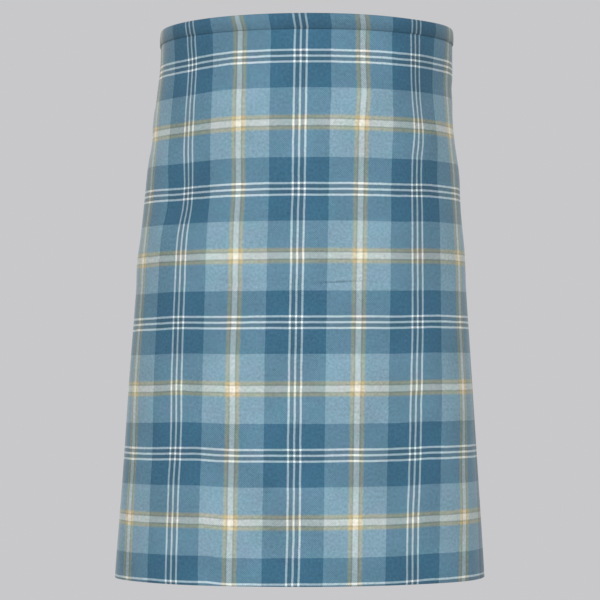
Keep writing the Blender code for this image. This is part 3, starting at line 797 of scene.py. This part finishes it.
def bendAlong(thing, spots):
    # bends a flat strip, which starts at x = 0, along the way
    run, tangent = runAlong(spots), np.gradient(spots, axis=0)
    tangent /= np.hypot(tangent[:, 0], tangent[:, 1])[:, None]
    for vertex in thing.data.vertices:
        at = [np.interp(vertex.co.x, run, spots[:, k]) for k in (0, 1)]
        to = [np.interp(vertex.co.x, run, tangent[:, k]) for k in (0, 1)]
        lift = vertex.co.z
        vertex.co = (at[0] - to[1] * lift, vertex.co.y, at[1] + to[0] * lift)


def addCutter(x, radius, stretch):
    bpy.ops.mesh.primitive_cylinder_add(vertices=20, radius=radius, depth=0.01, location=(x, 0, 0))
    cutter = bpy.context.object
    bpy.ops.object.transform_apply(location=True, rotation=False, scale=False)
    for vertex in cutter.data.vertices:
        vertex.co.x += stretch if vertex.co.x > x else -stretch
    return cutter


def flatStrip(name, sizes, length, cuts):
    # a strip of leather, cut, rounded off at its edges and punched while it lies flat
    thickness, point = sizes["thickness"], sizes["point"]
    deselectAll()
    bpy.ops.mesh.primitive_grid_add(size=1, x_subdivisions=round(length / strap["step"]),
                                    y_subdivisions=strap["stepsAcross"])
    strip = bpy.context.object
    strip.name = strip.data.name = name
    for vertex in strip.data.vertices:
        x, y = (vertex.co.x + 0.5) * length, vertex.co.y * sizes["width"]
        if point and x > length - point:
            part = (x - (length - point)) / point
            y *= max(math.sqrt(max(1 - part ** strap["pointShape"], 0)), strap["pointEnd"])
        vertex.co = (x, y, 0)
    wall = strip.modifiers.new("wall", "SOLIDIFY")
    wall.thickness, wall.offset = thickness, 0
    edge = strip.modifiers.new("edge", "BEVEL")
    edge.width, edge.segments, edge.limit_method = thickness * strap["edgeShare"], 2, "ANGLE"
    applyAll(strip)
    for x, radius, stretch in cuts:
        cutter = addCutter(x, radius, stretch)
        punch = strip.modifiers.new("punch", "BOOLEAN")
        punch.operation, punch.solver, punch.object = "DIFFERENCE", "EXACT", cutter
        applyAll(strip)
        bpy.data.objects.remove(cutter, do_unlink=True)
    strip.data.materials.append(bridleLeather)
    return strip


def threadRows(name, rows, height, material):
    # thread that shows as short capsules in rows, sunk a little into what it is sewn through
    deselectAll()
    bpy.ops.mesh.primitive_uv_sphere_add(segments=6, ring_count=4, radius=1)
    model = bpy.context.object
    spots = np.array([v.co for v in model.data.vertices])
    faces = [tuple(p.vertices) for p in model.data.polygons]
    bpy.data.objects.remove(model, do_unlink=True)
    points, polygons = [], []
    for start, end in rows:
        start, end = np.array(start), np.array(end)
        length = np.linalg.norm(end - start)
        count = max(int(length / stitch["spacing"]), 1)
        to = (end - start) / length
        sideways = np.array([-to[1], to[0]])
        for k in range(count):
            middle = start + to * (k + 0.5) * length / count
            polygons += [tuple(len(points) + i for i in face) for face in faces]
            for x, y, z in spots:
                flat = middle + to * x * stitch["length"] / 2 + sideways * y * stitch["radius"]
                points.append((flat[0], flat[1], height + z * stitch["radius"]))
    rowsOfThread = newObject(name, points, [], polygons)
    rowsOfThread.data.materials.append(material)
    return rowsOfThread


def sewAndLay(strip, rows, height, route, side):
    # stitched while flat, then bent along its way and laid on the kilt
    sewn = threadRows(strip.name + "Stitches", rows, height, waxedThread)
    makeActive(strip)
    sewn.select_set(True)
    bpy.ops.object.join()
    bendAlong(strip, route)
    return settle(strip, side, 40)


def addSlitStitches():
    # buttonhole stitches side by side all round the slit, so that its cut edge doesn't fray
    low, high = [station * waistStep for station in apron["slit"]]
    top, bottom = [drop - fitting["drop"] for drop in apron["slitDrops"]]
    reach, rows = slitEdge["reach"], []
    for y in np.arange(top, bottom, slitEdge["spacing"]):
        rows += [((low - reach, y), (low, y)), ((high, y), (high + reach, y))]
    for x in np.arange(low, high, slitEdge["spacing"]):
        rows += [((x, top - reach), (x, top)), ((x, bottom), (x, bottom + reach))]
    height = cloth["thickness"] / 2 - apron["face"] + slitEdge["lift"]
    return settle(threadRows("slitStitches", rows, height, buttonholeTwist), "slit", 60)


def addStrap(side):
    # from its sewn base, under the front bar, over the heel bar and on to its pointed tongue
    route = smoothRoute(bases[side] + strap["route"], 0.0015)
    run = runAlong(route)
    length, point = run[-1], strap["point"]
    hole = float(np.interp(strap["prongPlace"], route[:, 0], run).sum()) / 2
    width, slot = strap["prongHole"]
    cuts = [(hole, width / 2, (slot - width) / 2)]
    for k in (-3, -2, -1, 1, 2):
        x = hole + k * strap["holeSpacing"]
        if strap["firstHole"] < x < length - point:
            cuts.append((x, strap["hole"] / 2, 0.0))
    piece = flatStrip("strap" + side.capitalize(), strap, length, cuts)
    edge = strap["width"] / 2 - strap["seamInset"]
    share, end, closer = strap["tipSeam"]
    tip = length - point * share
    rows = [((strap["seamStart"], y), (tip, y)) for y in (-edge, edge)]
    rows += [((x, -edge), (x, edge)) for x in strap["crossSeams"]]
    rows += [((tip, y), (length - end, y * closer)) for y in (-edge, edge)]
    return sewAndLay(piece, rows, strap["thickness"] / 2, route, side)


def addTab(side):
    # round the heel bar, both ends back on to the pleats, sewn down through both
    heel, bar = buckle["halfLength"], buckle["barHeight"]
    loop = buckle["barRadius"] + fitting["clearance"] + tab["thickness"] / 2
    low = fitting["clearance"] + tab["thickness"] / 2
    high = low + tab["thickness"] + fitting["clearance"]
    end, slot, rise = heel + tab["length"], heel + tab["slotEnd"], heel + tab["rise"]
    route = [(end, low), (slot, low), (rise, bar - loop)]
    for degrees in range(-75, 76, 15):
        angle = math.radians(degrees)
        route.append((heel - loop * math.cos(angle), bar + loop * math.sin(angle)))
    route = smoothRoute(route + [(rise, bar + loop), (slot, high), (end, high)], 0.0006)
    length = float(runAlong(route)[-1])
    reach = length / 2 - (tab["length"] - tab["slotEnd"])
    cuts = [(length / 2, tab["slotWidth"] / 2, reach - tab["slotWidth"] / 2)]
    piece = flatStrip("tab" + side.capitalize(), tab, length, cuts)
    edge = tab["width"] / 2 - strap["seamInset"]
    far, near = [length - inset for inset in tab["seams"]]
    rows = [((x, -edge), (x, edge)) for x in (far, near)]
    rows += [((near, y), (far, y)) for y in (-edge, edge)]
    return sewAndLay(piece, rows, -tab["thickness"] / 2, route, side)


def wireFrom(name, outline, radii, resolution):
    # a mesh of loose edges made a round wire
    outline.name = outline.data.name = name
    makeActive(outline)
    bpy.ops.object.convert(target="CURVE")
    wire = bpy.context.object
    wire.data.bevel_depth, wire.data.bevel_resolution, wire.data.use_fill_caps = 1.0, resolution, True
    points = wire.data.splines[0].points
    for point, radius in zip(points, radii(points)):
        point.radius = radius
    bpy.ops.object.convert(target="MESH")
    wire = bpy.context.object
    wire.data.materials.clear()
    wire.data.materials.append(polishedSteel)
    return wire


def addBuckle(side):
    # a rectangular frame bent from one round wire; its far side is the heel bar
    deselectAll()
    bpy.ops.mesh.primitive_plane_add(size=2, location=(0, 0, 0))
    outline = bpy.context.object
    for vertex in outline.data.vertices:
        vertex.co.x *= buckle["halfLength"]
        vertex.co.y *= buckle["halfWidth"]
        vertex.co.z = buckle["barHeight"]
    corner = {"offset": buckle["corner"], "segments": 7, "affect": "VERTICES"}
    editAll(outline, (bpy.ops.mesh.bevel, corner), (bpy.ops.mesh.delete, {"type": "ONLY_FACE"}),
            (bpy.ops.mesh.subdivide, {"number_cuts": 2}))
    return settle(wireFrom("buckle" + side.capitalize(), outline,
                           lambda points: [buckle["barRadius"]] * len(points), 4), side, 60)


def addProng(side):
    # its end is curled round the heel bar, and its tip rests on the front bar
    heel, bar = buckle["halfLength"], buckle["barHeight"]
    curl = buckle["barRadius"] + fitting["clearance"] + prong["radius"]
    spots = []
    for degrees in range(*prong["curl"]):
        angle = math.radians(degrees)
        spots.append((heel + curl * math.cos(angle), 0, bar + curl * math.sin(angle)))
    tip, top = -heel - prong["overhang"], bar + curl
    spots += [(heel - part * (heel - tip), 0, top) for part in np.linspace(*prong["shaft"])]
    spots += [(tip, 0, top - prong["tipDrop"])]
    line = newObject("prongLine", spots, [(k, k + 1) for k in range(len(spots) - 1)], [])

    def radii(points):
        # a little thinner towards the tip, which is rounded off
        made = []
        for point in points:
            part = min(max((heel - point.co.x) / (heel - tip), 0), 1)
            end = max(part - (1 - prong["round"]), 0)
            end = math.sqrt(max(1 - end ** 2 / prong["round"] ** 2, prong["least"]))
            made.append(prong["radius"] * (1 - prong["thinner"] * part) * end)
        return made

    return settle(wireFrom("prong" + side.capitalize(), line, radii, 3), side, 60)


def alongAt(side, station):
    # from the buckle's centre to a station, along the strap
    centre, way = fitting[side]
    return (station - centre) * way * waistStep


onApron = apron["face"] + fitting["clearance"] + strap["thickness"] / 2
behind = -(apron["under"] - onApron)
slitStart, slitEnd = apron["slit"]
# the way of each strap from where it is sewn on to where its route starts
bases = {
    "right": [(alongAt("right", station), onApron - float(overInset(station)))
              for station in (strap["rightStart"], apron["overFreeEdge"])],
    "left": [(alongAt("left", strap["leftStart"]), behind),
             (alongAt("left", slitStart + strap["slitEase"]), behind),
             (alongAt("left", slitEnd - strap["slitEase"]), strap["height"])],
}
slitStitches = addSlitStitches()
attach(slitStitches, "root")
for side in ("right", "left"):
    for add, node, slot in ((addStrap, "strap_", "strap_leather"), (addTab, "tab_", "strap_leather"),
                            (addBuckle, "buckle_", "buckle_steel"), (addProng, "prong_", "buckle_steel")):
        piece = add(side)
        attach(piece, "root")
        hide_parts(node + side)

print("room")
room = {
    "backdrop": "C8C8CA",
    "fill": 0.29,  # share of the backdrop's brightness that lights the kilt
    "paint": "ECECEC", "floorDrop": 1.09, "floorRadius": 2.4,
    # place, energy and size of each lamp
    "lamps": {"key": ((-0.22, -3.25, 1.65), 108.0, 1.8),
              "leftRim": ((-1.70, 2.71, 0.5), 38.0, 1.6),
              "rightRim": ((1.75, 2.60, 0.5), 38.0, 1.6)},
    "lampTarget": (0, 0, -0.3),
}
world = bpy.data.worlds.new("pale room")
bpy.context.scene.world = world
world.use_nodes = True
# the backdrop is as pale as it looks, but sends less light on to the cloth
sky = world.node_tree
sky.nodes.clear()
pale = linear(room["backdrop"])
seen = addNode(sky, "Background", values={"Color": pale})
fill = addNode(sky, "Background", values={"Color": pale, "Strength": room["fill"]})
toCamera = addNode(sky, "LightPath").outputs["Is Camera Ray"]
addNode(sky, "OutputWorld", {0: addNode(sky, "MixShader", {0: toCamera, 1: fill, 2: seen})})

bpy.ops.mesh.primitive_circle_add(vertices=64, radius=room["floorRadius"], fill_type="NGON",
                                  location=(0, 0, -room["floorDrop"]))
floor = bpy.context.object
floor.name = "floor"
# matt floor paint, rolled: even, with no gloss
floorPaint, add = newMaterial("paleFloorPaint")
shader = add("BsdfPrincipled", values={"Base Color": linear(room["paint"]), "Roughness": 0.9})
add("OutputMaterial", {0: shader})
floor.data.materials.append(floorPaint)

for name, (at, energy, size) in room["lamps"].items():
    bpy.ops.object.light_add(type="AREA", location=at)
    lamp = bpy.context.object
    lamp.name = name
    lamp.data.energy, lamp.data.size = energy, size
    way = Vector(room["lampTarget"]) - Vector(at)
    lamp.rotation_euler = way.to_track_quat("-Z", "Y").to_euler()

# lens and horizon in pixels of a view that is so many pixels wide
view = {"distance": 2.369, "height": -0.385, "focal": 2113.0, "horizon": 73.6, "pixels": 600,
        "sensor": 36}
bpy.ops.object.camera_add(location=(0, -view["distance"], view["height"]))
camera = bpy.context.object
camera.data.sensor_width = view["sensor"]
camera.data.lens = view["focal"] / view["pixels"] * view["sensor"]
camera.rotation_euler = (math.radians(90) + math.atan(view["horizon"] / view["focal"]), 0, 0)
bpy.context.scene.camera = camera
bpy.context.scene.view_settings.view_transform = "Standard"
